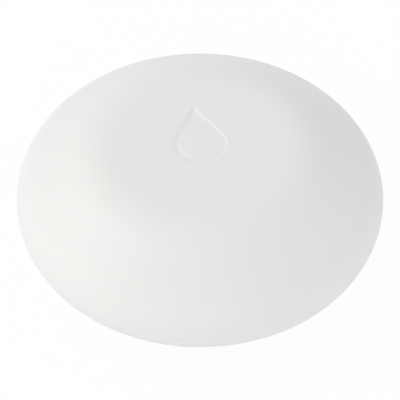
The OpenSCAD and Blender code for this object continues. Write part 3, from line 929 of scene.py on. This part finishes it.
def makeSiren():
    radius, wall, fine, holeR = (siren[key] for key in ("radius", "wall", "fine", "holeR"))
    top, ledge = deck + siren["height"], deck + siren["ledge"]
    inner, upper = radius - wall, radius - siren["skirtStep"]
    skirtLow, skirtHigh = (deck + height for height in siren["skirtH"])
    rimIn, floorIn, floorOut, rimOut = siren["grooveR"]
    groove = top - siren["grooveDeep"]
    footEdge, skirtEdge = siren["skirtEdge"]
    piece = turned("sirenCase", [
        (inner - wall, deck), (radius, deck, footEdge), (radius, skirtLow, skirtEdge),
        (upper, skirtHigh, fine), (upper, top, siren["topEdge"]), (rimOut, top, fine),
        (floorOut, groove, fine), (floorIn, groove, fine), (rimIn, top, fine),
        (holeR, top, siren["holeEdge"]), (holeR, top - wall), (inner, top - wall, siren["innerEdge"]),
        (inner, ledge), (inner - wall, ledge), (inner - wall, deck),
    ], siren["at"], 80)
    settle(piece, "black_plastic", "blackPlastic", node="siren_case", angle=40)
    discR, patchR = siren["discR"], siren["ceramicR"]
    discTop = ledge + siren["discT"]
    brassTop = discTop - siren["ceramicT"]
    lowEdge, topEdge = siren["discEdge"]
    disc = turned("sirenDisc", [
        (0, ledge), (discR, ledge, lowEdge), (discR, brassTop, topEdge),
        (patchR + fine, brassTop), (patchR, discTop), (0, discTop),
    ], siren["at"], 64)
    discFinish()
    settle(disc, "brass_disc", "sirenBrass", node="siren_disc")


# status light, chip and capacitors

led = {
    "at": (0.0, 3.1), "size": (3.5, 2.8, 0.85), "edge": 0.1,
    "lensR": 1.1, "lensZ": (0.3, 1.2), "lensEdge": 0.3,
    "tintOut": 0.02, "tintDown": 0.05,         # how far the lens's colour goes past it
}
chip = {
    "at": (13.6, 2.4), "size": (5.0, 5.0, 1.0), "edge": 0.06, "markR": 0.3, "markIn": 0.75, "markDeep": 0.06,
    "pads": 8, "padPitch": 0.55, "padSize": (0.28, 0.45, 0.2), "padEdge": 0.03, "padOut": 0.12,
}
can = {
    "places": ((19.6, 5.4), (19.9, 0.2)), "radius": 2.1, "height": 4.6, "baseH": 0.9, "baseEdge": 0.12,
    "neckDeep": 0.22, "neckH": (0.15, 0.35, 0.6), "neckEdge": (0.1, 0.15), "topEdge": 0.35,
    "topRim": (0.5, 0.55), "topDeep": 0.1, "rimEdge": 0.05,
    "vent": (2.2, 0.12, 0.3), "ventDeep": 0.18, "stripeAt": 1.0,
}


def ledFinish():
    made = Finish("ledCeramic", IOR=1.5)
    foot = deck + led["size"][2] - led["tintDown"]
    lens = (made.away("XY", led["at"]) < led["lensR"] + led["tintOut"]) * (made.axis("Z") > foot)
    grain = made.noise(700.0, 3.0)
    white = made.mix(grain, (0.80, 0.80, 0.78), (0.74, 0.74, 0.72))
    made.paint({
        "Base Color": made.mix(lens, white, made.mix(grain, (0.80, 0.62, 0.12), (0.74, 0.55, 0.09))),
        "Roughness": 0.42 - lens * 0.22 + (grain - 0.5) * 0.1,
    })


def makeLed():
    piece = boxPiece("statusLed", (*led["at"], deck), led["size"], led["edge"])
    low, high = (deck + height for height in led["lensZ"])
    carve(piece, peg("lens", led["lensR"], low, high, led["lensEdge"], led["at"], 40), "UNION")
    ledFinish()
    settle(piece, "led_white", "ledCeramic", node="status_led")


def makeChip():
    wide, deep, high = chip["size"]
    x, y = chip["at"]
    top = deck + high
    piece = boxPiece("controllerChip", (x, y, deck), chip["size"], chip["edge"])
    spot = (x - wide / 2 + chip["markIn"], y + deep / 2 - chip["markIn"])
    carve(piece, peg("mark", chip["markR"], top - chip["markDeep"], top + 1, at=spot, steps=24))
    settle(piece, "black_plastic", "blackPlastic", node="controller_chip")
    lead = boxPiece("chipLeads", (0, 0, 0), chip["padSize"], chip["padEdge"], 1)
    out = wide / 2 - chip["padSize"][1] / 2 + chip["padOut"]
    row = spread(lead, [(0, along, out, 0) for along in rowOf(chip["pads"], chip["padPitch"])])
    settle(spread(row, [(90 * side, x, y, deck) for side in range(4)]), "steel", "tin")


def canFinish():
    # brushed aluminium with a dark stripe and a moulded foot
    made = Finish("capacitorCan")
    y, z = made.axis("Y"), made.axis("Z")
    backY, frontY = (place[1] for place in can["places"])
    second = y > (backY + frontY) / 2
    local = y - frontY - second * (backY - frontY)
    stripe = (local < -can["stripeAt"]) * (z > deck + can["baseH"])
    dark = stripe.maths("MAXIMUM", z < deck + can["baseH"])
    brushed = made.noise(1.0, 4.0, made.mapped(Scale=(500, 500, 6000)))
    bright = made.mix(brushed, (0.68, 0.69, 0.70), (0.56, 0.57, 0.58))
    made.paint({
        "Base Color": made.mix(dark, bright, (0.025, 0.025, 0.027)),
        "Metallic": 1 - dark,
        "Roughness": 0.3 + dark * 0.15 + (brushed - 0.5) * 0.14,
    })
    made.bump(brushed, 0.05, 0.01)


def makeCapacitors():
    radius, top, neck = can["radius"], deck + can["height"], deck + can["baseH"]
    waist, sunk = radius - can["neckDeep"], top - can["topDeep"]
    rimIn, dishR = (radius - inwards for inwards in can["topRim"])
    waistLow, waistHigh, bodyLow = (neck + height for height in can["neckH"])
    waistEdge, bodyEdge = can["neckEdge"]
    foot, rim = can["baseEdge"], can["rimEdge"]
    piece = turned("boardCapacitors", [
        (0, deck), (radius, deck, foot), (radius, neck, foot),
        (waist, waistLow, waistEdge), (waist, waistHigh, waistEdge), (radius, bodyLow, bodyEdge),
        (radius, top, can["topEdge"]), (rimIn, top, rim), (dishR, sunk, rim), (0, sunk),
    ], steps=56)
    for turn in (0, 90):
        vent = boxPiece("vent", (0, 0, top - can["ventDeep"]), can["vent"])
        lay(vent, turn)
        carve(piece, vent)
    piece = spread(piece, [(0, *place, 0) for place in can["places"]])
    canFinish()
    settle(piece, "capacitor_can", "capacitorCan", node="board_capacitors", angle=40)


makeSiren()
makeLed()
makeChip()
makeCapacitors()
print("siren, status light, chip and capacitors made")


# radio

radio = {
    "at": (-11.5, 7.6), "size": (11.0, 9.0, 0.8), "edge": 0.05,
    "notchR": 0.32, "notchPitch": 1.27, "notches": 6, "notchIn": 0.75,
    "shield": (9.2, 7.2, 1.9), "shieldT": 0.3, "shieldEdge": 0.25, "corner": 0.7,
    "ventR": 0.3, "vents": (4, 3), "ventPitch": 1.5, "ventLift": 0.5,
}
antenna = {
    "ringR": 24.783, "z": 14.2, "wireR": 0.4, "start": 132.0, "span": 54.0,
    "postR": 0.75, "postTop": 14.9, "postEdge": 0.3,
}


def radioFinish():
    # dark mask with plated half-holes along two edges
    made = Finish("radioMask", IOR=1.52)
    x, y = (made.axis(name) - middle for name, middle in zip("XY", radio["at"]))
    rung = (y * (1 / radio["notchPitch"])).maths("FRACT")
    edge = (x.maths("ABSOLUTE") > radio["size"][0] / 2 - radio["notchIn"]) * (rung > 0.2) * (rung < 0.8)
    grain = made.noise(420.0, 3.0)
    dark = made.mix(grain, (0.010, 0.022, 0.055), (0.014, 0.030, 0.075))
    made.paint({
        "Base Color": made.mix(edge, dark, (0.82, 0.60, 0.26)),
        "Metallic": edge,
        "Roughness": 0.34 - edge * 0.08 + (grain - 0.5) * 0.1,
    })


def makeRadio():
    x, y = radio["at"]
    wide, _, high = radio["size"]
    piece = boxPiece("radioBoard", (x, y, deck), radio["size"], radio["edge"], 1)
    bore = peg("bore", radio["notchR"], deck - 1, deck + 2, steps=20)
    rungs = rowOf(radio["notches"], radio["notchPitch"])
    edges = (x - wide / 2, x + wide / 2)
    carve(piece, spread(bore, [(0, side, y + along, 0) for side in edges for along in rungs]))
    radioFinish()
    settle(piece, "board_mask", "radioMask", node="radio_board")

    low, tall = deck + high, radio["shield"][2]
    shield = boxPiece("radioShield", (x, y, low), radio["shield"])
    roundUprights(shield, radio["corner"])
    pick(shield, "FACE", lambda face: face.normal.z < -facing)
    bpy.ops.mesh.delete(type="FACE")
    leaveEdit()
    pick(shield, "FACE", lambda face: face.normal.z > facing)
    bevel(radio["shieldEdge"], 3)
    leaveEdit()
    modified(shield, "SOLIDIFY", thickness=radio["shieldT"] * mm, offset=-1)
    vent = peg("vent", radio["ventR"], low, low + tall + 1, steps=20)
    across, along = (rowOf(count, radio["ventPitch"]) for count in radio["vents"])
    carve(shield, spread(vent, [(0, x + i, y + j, radio["ventLift"]) for i in across for j in along]))
    settle(shield, "steel", "tin", node="radio_shield", angle=40)


def makeAntenna():
    section = arcPoints((antenna["ringR"], antenna["z"]), antenna["wireR"], 0, 330, 30)
    piece = ringBar("antennaWire", section, antenna["start"], antenna["span"], steps=48)
    foot = (antenna["ringR"], 0)
    post = peg("post", antenna["postR"], deck, antenna["postTop"], antenna["postEdge"], foot, 32)
    lay(post, antenna["start"] + antenna["span"])
    carve(piece, post, "UNION")
    settle(piece, "antenna_copper", "copper", node="antenna_wire", angle=40)


makeRadio()
makeAntenna()
print("radio and antenna made")


# switches

tamper = {
    "at": (-8.4524, 18.1262), "turn": 115.0, "size": (5.0, 5.0, 4.0), "edge": 0.25,
    "rim": 0.35, "rimDeep": 0.25, "wellR": 1.45, "wellZ": (11.2, 20.2),
    "plungerR": 1.4, "plungerZ": (11.3, 20.3), "plungerEdge": (0.15, 0.8),
}
pair = {
    "at": (-0.6, 16.583), "size": (4.5, 4.5, 2.2), "edge": 0.2,
    "plateT": 0.3, "plateIn": 0.05, "plateEdge": 0.06, "plateClear": (0.02, 0.01),
    "wellR": 1.55, "wellZ": (11.2, 20.2), "rivetR": 0.35, "rivetAt": 1.7, "rivetH": 0.2,
    "capR": 1.5, "capZ": (11.6, 13.8), "capEdge": (0.1, 0.35),
    "dishR": (0.825, 0.75), "dishDeep": 0.08, "fine": 0.05,
}
leg = {
    "width": 0.7, "thick": 0.2, "edge": 0.03, "rise": 0.8, "foot": 0.1, "inside": 0.3, "out": (0.35, 0.9),
    "bend": 0.15, "along": (-1.85, 1.15),
}


def makeTamper():
    piece = boxPiece("tamperSwitch", (0, 0, deck), tamper["size"], tamper["edge"])
    pick(piece, "FACE", lambda face: face.normal.z > facing)
    bpy.ops.mesh.inset(thickness=tamper["rim"] * mm)
    extrude((0, 0, -tamper["rimDeep"] * mm))
    leaveEdit()
    carve(piece, peg("well", tamper["wellR"], *tamper["wellZ"]))
    lay(piece, tamper["turn"], (*tamper["at"], 0))
    settle(piece, "black_plastic", "blackPlastic", node="tamper_switch")
    foot, tip = tamper["plungerEdge"]
    plunger = peg("tamperPlunger", tamper["plungerR"], *tamper["plungerZ"], tip, tamper["at"], foot=foot)
    settle(plunger, "plunger_red", "plungerRed", node="tamper_plunger", body="tamper_plunger")


def makePairButton():
    wide, deep, high = pair["size"]
    top, plateT, inset, fine = deck + high, pair["plateT"], pair["plateIn"], pair["fine"]
    piece = boxPiece("pairButtonCase", (0, 0, deck), (wide, deep, high - plateT), pair["edge"])
    plateSize = (wide - 2 * inset, deep - 2 * inset, plateT)
    carve(piece, boxPiece("plate", (0, 0, top - plateT - inset), plateSize, pair["plateEdge"]), "UNION")
    rivet = peg("rivet", pair["rivetR"], top - pair["rivetH"], top, fine, steps=20)
    sides = (-pair["rivetAt"], pair["rivetAt"])
    carve(piece, spread(rivet, [(0, x, y, 0) for x in sides for y in sides]), "UNION")
    carve(piece, peg("well", pair["wellR"], *pair["wellZ"]))
    lay(piece, move=(*pair["at"], 0))
    settle(piece, "black_plastic", "blackPlastic", "steel", node="pair_button_case")
    under, around = pair["plateClear"]
    paintFaces(piece, lambda centre: centre.z > top - plateT - under
               and (centre.xy - Vector(pair["at"])).length > pair["wellR"] + around)
    capR, (low, high) = pair["capR"], pair["capZ"]
    footEdge, topEdge = pair["capEdge"]
    dishRim, dishR = pair["dishR"]
    dish = high - pair["dishDeep"]
    cap = turned("pairButtonCap", [
        (0, low), (capR, low, footEdge), (capR, high, topEdge),
        (dishRim, high, fine), (dishR, dish, fine), (0, dish),
    ], pair["at"])
    settle(cap, "button_tan", "buttonTan", node="pair_button_cap", body="pair_button")


def makeLegs():
    # four bent legs to a switch, two on each of two sides
    legs = []
    high, low, bend = deck + leg["rise"], deck + leg["foot"], leg["bend"]
    for switch, turn in ((pair, 0.0), (tamper, tamper["turn"])):
        half = switch["size"][0] / 2
        near, far = (half + reach for reach in leg["out"])
        corners = [(half - leg["inside"], high), (near, high, bend), (near, low, bend), (far, low)]
        for along in leg["along"]:
            one = bentStrip("leg", corners, along, leg)
            legs.append(spread(one, [(turn + side, *switch["at"], 0) for side in (0, 180)]))
    settle(joined("switchLegs", legs), "steel", "tin", angle=40)


makeTamper()
makePairButton()
makeLegs()
print("switches made")


# probes, their springs and seals

probe = {
    "at": 22.883, "sides": {"front": 270, "left": 150, "right": 30},
    "radius": 1.7, "tip": 0.5, "flangeR": 2.3, "flangeZ": (5.65, 6.25), "flangeEdge": (0.1, 0.15),
    "springR": 1.8, "springWire": 0.2, "springZ": (6.5, 8.75), "springTurns": 2.5, "springSteps": 28,
    "ringR": 2.05, "ringZ": 3.75, "ringWire": 0.3,
}


def makeProbes():
    radius, flangeR = probe["radius"], probe["flangeR"]
    low, high = probe["flangeZ"]
    fine, topEdge = probe["flangeEdge"]
    pin = turned("pin", [
        (0, 0), (radius, 0, probe["tip"]), (radius, low, fine),
        (flangeR, low, fine), (flangeR, high, topEdge), (0, high),
    ], (probe["at"], 0), 64)
    footZ, topZ = probe["springZ"]
    turns = probe["springTurns"]
    section = arcPoints((probe["springR"], footZ), probe["springWire"], 0, 324, 36)
    coil = ringBar("coil", section, 0, 360 * turns, topZ - footZ, int(probe["springSteps"] * turns))
    for side, angle in probe["sides"].items():
        copied(pin, angle)
        piece = named("probe" + side.capitalize())
        settle(piece, "gold_plating", "gold", node="probe_" + side, body="probe_" + side)
        turn = math.radians(angle)
        x, y = probe["at"] * math.cos(turn), probe["at"] * math.sin(turn)
        copied(coil, move=(x, y, 0))
        spring = named("probeSpring" + side.capitalize())
        smooth(spring, 50)
        coat(spring, "steel")
        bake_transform(spring)
        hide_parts("probe_spring_" + side)
    bpy.data.objects.remove(pin)
    bpy.data.objects.remove(coil)
    rings = turned("probeSeals", arcPoints((probe["ringR"], probe["ringZ"]), probe["ringWire"], 0, 360, 24))
    lay(rings, move=(probe["at"], 0, 0))
    settle(ringOf(rings, probe["sides"].values()), "seal_rubber", "sealBlack", node="probe_seals")


makeProbes()
print("probes, springs and seals made")


# small parts, pads and print on the board

small = {
    "edge": 0.05, "endLength": 0.35, "endSkin": 0.03,
    "resistor": (1.6, 0.8, 0.5), "ceramic": (1.6, 0.85, 0.85),
    "resistorPlaces": (                        # x, y, turn
        (-3.9, 7.2, 0), (-3.9, 9.0, 0), (-3.9, 10.8, 0), (1.9, 7.6, 90), (6.0, 4.4, 90), (7.8, 4.4, 90),
        (-19.3, 1.6, 90), (-19.3, 4.6, 90), (-9.5, -19.2, 0), (-6.5, -19.2, 0), (6.5, -19.2, 0),
        (9.5, -19.2, 0), (20.6, 9.6, 30),
    ),
    "ceramicPlaces": (
        (-1.3, 7.2, 0), (-1.3, 9.0, 0), (-1.3, 10.8, 0), (6.0, 1.4, 90), (7.8, 1.4, 90), (-21.3, 3.1, 90),
        (-12.5, -19.2, 0), (12.5, -19.2, 0),
    ),
    "crystalAt": (-20.2, -1.8), "crystalFoot": (3.2, 2.5, 0.35), "crystalLid": (2.8, 2.1, 0.5),
    "crystalEdge": 0.12,
}
choke = {
    "at": (0.0, -19.6), "radius": 1.6, "waist": 1.25, "height": 1.2, "rim": 0.25, "turns": 4, "edge": 0.08,
    "loopR": 0.5,
}
pad = {
    "lift": 0.03, "sink": 0.05, "edge": 0.02, "testR": 0.55,
    "testPlaces": ((-6.2, -22.2), (-4.2, -22.7), (4.2, -22.7), (6.2, -22.2), (15.6, -2.0), (17.4, -2.4)),
    "screwR": (2.0, 2.7), "probeR": 2.2, "footAt": (18.45, -6.7415), "footSize": (2.9, 5.6),
}
ink = {
    "width": 0.16, "lift": 0.02, "edge": 0.01, "sirenGap": 0.25, "boxGap": 0.45,
    "plusAt": (21.4, -3.4), "minusAt": (-21.4, -4.6), "arm": 1.3,
}


def makeEndCapped(title, slot, size, finish, places):
    # chip bodies, each between two tinned ends
    length, deep, high = size
    skin, end, edge = small["endSkin"], small["endLength"], small["edge"]
    parts = [boxPiece("middle", (0, 0, skin), (length - end, deep - 2 * skin, high - 2 * skin), edge)]
    parts += [boxPiece("end", (side * (length - end) / 2, 0, 0), (end, deep, high), edge) for side in (-1, 1)]
    for part, name in zip(parts, (finish, "tin", "tin")):
        coat(part, name)
    settle(spread(joined(title, parts), [(turn, x, y, deck) for x, y, turn in places]), slot)


def makeCrystal():
    x, y = small["crystalAt"]
    foot = boxPiece("crystalFoot", (x, y, deck), small["crystalFoot"], small["edge"])
    coat(foot, "ceramicTan")
    lidZ = deck + small["crystalFoot"][2]
    lid = boxPiece("crystalLid", (x, y, lidZ), small["crystalLid"], small["crystalEdge"], 3)
    coat(lid, "tin")
    settle(joined("boardCrystal", [foot, lid]), "steel")


def makeChoke():
    # a drum of black ferrite with copper turns in its waist
    radius, waist, rim, edge, loopR = (choke[key] for key in ("radius", "waist", "rim", "edge", "loopR"))
    top = deck + choke["height"]
    low, high = deck + rim, top - rim
    wire = (choke["height"] - 2 * rim) / choke["turns"] / 2
    turns = []
    for k in range(choke["turns"]):
        turns += arcPoints((waist, low + wire * (2 * k + 1)), wire, -90, 90, 30)
    drum = [(0, deck), *softLine([(loopR, deck), (radius, deck, edge), (radius, low, edge), turns[0]])[1:]]
    drum += turns[1:]
    drum += [*softLine([turns[-1], (radius, high, edge), (radius, top, edge), (loopR, top)])[1:], (0, top)]
    piece = turned("boardChoke", drum, choke["at"], 40)
    settle(piece, "antenna_copper", "blackPlastic", "copper", angle=40)
    middle = Vector(choke["at"])
    paintFaces(piece, lambda centre: low < centre.z < high and (centre.xy - middle).length < waist + wire)


def flatRing(name, inner, outer, low, high, at, steps=40):
    return turned(name, [(inner, low), (outer, low), (outer, high), (inner, high), (inner, low)], at, steps)


def makePads():
    lift, sink, edge = pad["lift"], pad["sink"], pad["edge"]
    low, high = deck - sink, deck + lift
    dots = [peg("dot", pad["testR"], low, high, edge, place, 28) for place in pad["testPlaces"]]
    rings = ringOf(flatRing("ring", *pad["screwR"], low, high, (screw["at"], 0)), screw["angles"])
    under = board["z"][0]
    landing = peg("landing", pad["probeR"], under - lift, under + sink, at=(probe["at"], 0), foot=edge)
    piece = joined("boardPads", [*dots, rings, ringOf(landing, probe["sides"].values())])
    settle(piece, "gold_plating", "gold")
    x, y = pad["footAt"]
    size = (*pad["footSize"], high - low)
    solder = [boxPiece("solder", (side * x, y, low), size, edge, 1) for side in (-1, 1)]
    settle(joined("contactSolder", solder), "contact_plating", "tin")


def printedBox(middle, size):
    # a plane, inset to a line, opened and raised
    focus()
    bpy.ops.mesh.primitive_plane_add(size=mm)
    piece = named("printedBox")
    editAll(piece, "FACE")
    bpy.ops.transform.resize(value=(*size, 1))
    bpy.ops.transform.translate(value=Vector((*middle, deck)) * mm)
    bpy.ops.mesh.inset(thickness=ink["width"] * mm)
    bpy.ops.mesh.delete(type="FACE")
    bpy.ops.mesh.select_all(action="SELECT")
    extrude((0, 0, ink["lift"] * mm))
    leaveEdit()
    closeUp(piece)
    return piece


def makePrint():
    width, low, high = ink["width"], deck - ink["lift"], deck + ink["lift"]
    gap = 2 * ink["boxGap"]
    marks = [printedBox(part["at"], [side + gap for side in part["size"][:2]]) for part in (radio, chip, led)]
    inner = siren["radius"] + ink["sirenGap"]
    marks.append(flatRing("ring", inner, inner + width, low, high, siren["at"], 96))
    for place, turn in ((ink["plusAt"], 0), (ink["plusAt"], 90), (ink["minusAt"], 0)):
        bar = boxPiece("bar", (0, 0, 0), (ink["arm"], 2 * width, high - low), ink["edge"], 1)
        lay(bar, turn, (*place, low))
        marks.append(bar)
    settle(joined("boardPrint", marks), "led_white", "printWhite", angle=None)


makeEndCapped("boardResistors", "black_plastic", small["resistor"], "blackPlastic", small["resistorPlaces"])
makeEndCapped("boardCeramics", "button_tan", small["ceramic"], "ceramicTan", small["ceramicPlaces"])
makeCrystal()
makeChoke()
makePads()
makePrint()
print("small board parts, pads and print made")


# camera

camera = {
    "azimuth": -6.8, "elevation": 47.6, "distance": 1.0, "target": (0, 0, 0.014),
    "viewWidth": 0.0786, "sensor": 36.0, "drop": 0.00066,
}


def outward(azimuth, elevation):
    # the way from the part to a camera or lamp, and the turn that faces back
    turn, lift = math.radians(azimuth), math.radians(elevation)
    way = Vector((math.sin(turn) * math.cos(lift), -math.cos(turn) * math.cos(lift), math.sin(lift)))
    return way, (-way).to_track_quat("-Z", "Y")


def makeCamera():
    bpy.ops.object.camera_add()
    eye = bpy.context.object
    eye.name = "camera"
    way, facingBack = outward(camera["azimuth"], camera["elevation"])
    eye.location = Vector(camera["target"]) + way * camera["distance"]
    eye.location -= facingBack @ Vector((0, camera["drop"], 0))
    eye.rotation_euler = facingBack.to_euler()
    eye.data.sensor_width = camera["sensor"]
    eye.data.lens = camera["sensor"] * camera["distance"] / camera["viewWidth"]
    bpy.context.scene.camera = eye


focus()
makeCamera()


# stage and light

studio = {
    "floorSize": 8.0, "floorColours": ((0.95, 0.95, 0.95), (0.97, 0.97, 0.97)), "glow": 0.95,
    "white": (1, 1, 1), "world": 0.64, "worldColour": (0.975, 1.0, 1.0),
    "lampAt": 0.9, "lampSize": 0.7,
    "lamps": {                                 # azimuth, elevation, watts, colour
        "left": (-90, 35, 2.60, (1.0, 0.955, 0.955)),
        "leftBack": (-135, 35, 1.00, (1.0, 0.985, 0.96)),
        "front": (0, 12, 1.65, (1.0, 0.985, 0.98)),
        "right": (90, 35, 1.04, (1.0, 0.965, 0.965)),
    },
}


def whiteToView(graph, ending, plain, white, share):
    # camera, mirror and glass rays see white; the rest see the plain shader
    rays = ("Is Camera Ray", "Is Glossy Ray", "Is Transmission Ray")
    eye, mirror, glass = (graph.node("ShaderNodeLightPath", output=name) for name in rays)
    mask = eye.maths("MAXIMUM", mirror.maths("MAXIMUM", glass))
    mixed = graph.node("ShaderNodeMixShader", {0: mask * share, 1: Wire(graph, plain.outputs[0]), 2: white})
    graph.plug(mixed, graph.tree.nodes[ending].inputs["Surface"])


def makeStage():
    bpy.ops.mesh.primitive_plane_add(size=studio["floorSize"])
    floor = named("floor")
    paper = Finish("floorPaper", Roughness=0.9)
    paper.paint({"Base Color": paper.mix(paper.noise(3.0), *studio["floorColours"])})
    glow = paper.node("ShaderNodeEmission", {"Color": studio["white"], "Strength": 1.0})
    whiteToView(paper, "Material Output", paper.shader, glow, studio["glow"])
    coat(floor, "floorPaper")

    world = bpy.data.worlds.new("studioWorld")
    world.use_nodes = True
    bpy.context.scene.world = world
    sky = Graph(world.node_tree)
    dim = sky.tree.nodes["Background"]
    sky.plug(studio["worldColour"], dim.inputs["Color"])
    sky.plug(studio["world"], dim.inputs["Strength"])
    bright = sky.node("ShaderNodeBackground", {"Color": studio["white"]})
    whiteToView(sky, "World Output", dim, bright, 1.0)


def makeLamp(name, azimuth, elevation, watts, colour):
    way, facingBack = outward(azimuth, elevation)
    bpy.ops.object.light_add(type="AREA", location=way * studio["lampAt"])
    lamp = bpy.context.object
    lamp.name = name + "Lamp"
    lamp.rotation_euler = facingBack.to_euler()
    lamp.data.shape = "DISK"
    lamp.data.size = studio["lampSize"]
    lamp.data.energy = watts
    lamp.data.color = colour


makeStage()
for lampName, values in studio["lamps"].items():
    makeLamp(lampName, *values)
bpy.context.scene.view_settings.view_transform = "Standard"
print("camera, stage and light made")
